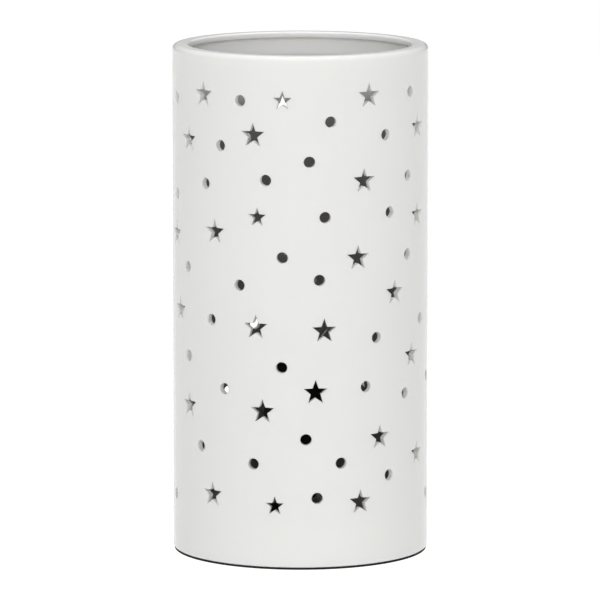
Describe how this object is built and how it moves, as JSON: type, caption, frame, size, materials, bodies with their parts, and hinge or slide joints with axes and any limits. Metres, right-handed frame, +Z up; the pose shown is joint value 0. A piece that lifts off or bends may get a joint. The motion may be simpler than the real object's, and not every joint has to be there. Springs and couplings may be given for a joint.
{
  "type": "table lamp",
  "caption": "Upright white ceramic cylinder lamp with cut-out stars and dots, open at the top, with a black lampholder and a removable bulb inside.",
  "frame": {"origin": "centre of the round foot, on the table", "axes": "+Z up along the cylinder's axis; -Y towards the viewer of the picture; +Y to the back, where the cord inlet is"},
  "size_m": [0.112, 0.112, 0.2235],
  "materials": {
    "glaze_white": "glossy white glaze over a fine white body",
    "foam_black": "matte closed-cell foam",
    "rubber_black": "matte moulded rubber",
    "steel_zinc": "bright zinc plate",
    "thermoplastic_black": "satin moulded thermoplastic",
    "insulator_dark": "matte moulded insulator",
    "bush_white": "matte nylon",
    "brass": "plain brass",
    "brass_nickel": "nickel-plated brass",
    "glass_clear": "clear blown glass",
    "vitrite_black": "black fused insulator",
    "solder": "solder",
    "phosphor_yellow": "phosphor-coated strips",
    "board_green": "circuit board with a capacitor",
    "wire": "thin nickel wire"
  },
  "bodies": {
    "lamp": {"ceramic_body": "glaze_white", "foot_pad": "foam_black", "cord_grommet": "rubber_black", "threaded_tube": "steel_zinc", "tube_end_bush": "bush_white", "rubber_washers": "rubber_black", "steel_washers": "steel_zinc", "lock_washer": "steel_zinc", "hex_nuts": "steel_zinc", "holder_cap": "thermoplastic_black", "cap_lock_screw": "steel_zinc", "holder_shell": "thermoplastic_black", "terminal_core": "insulator_dark", "terminal_clamps": "brass", "terminal_screws": "steel_zinc", "screw_shell": "brass_nickel", "centre_contact": "brass", "side_contact": "brass"},
    "bulb": {"bulb_glass": "glass_clear", "bulb_cap": "brass_nickel", "bulb_insulator": "vitrite_black", "bulb_contact": "solder", "bulb_stem": "glass_clear", "bulb_driver": "board_green", "filaments": "phosphor_yellow", "filament_wires": "wire"}
  },
  "joints": [
    {"name": "bulb_lift", "type": "slide", "parent": "lamp", "child": "bulb", "axis": [0, 0, 1], "range_m": [0, 0.168]}
  ]
}
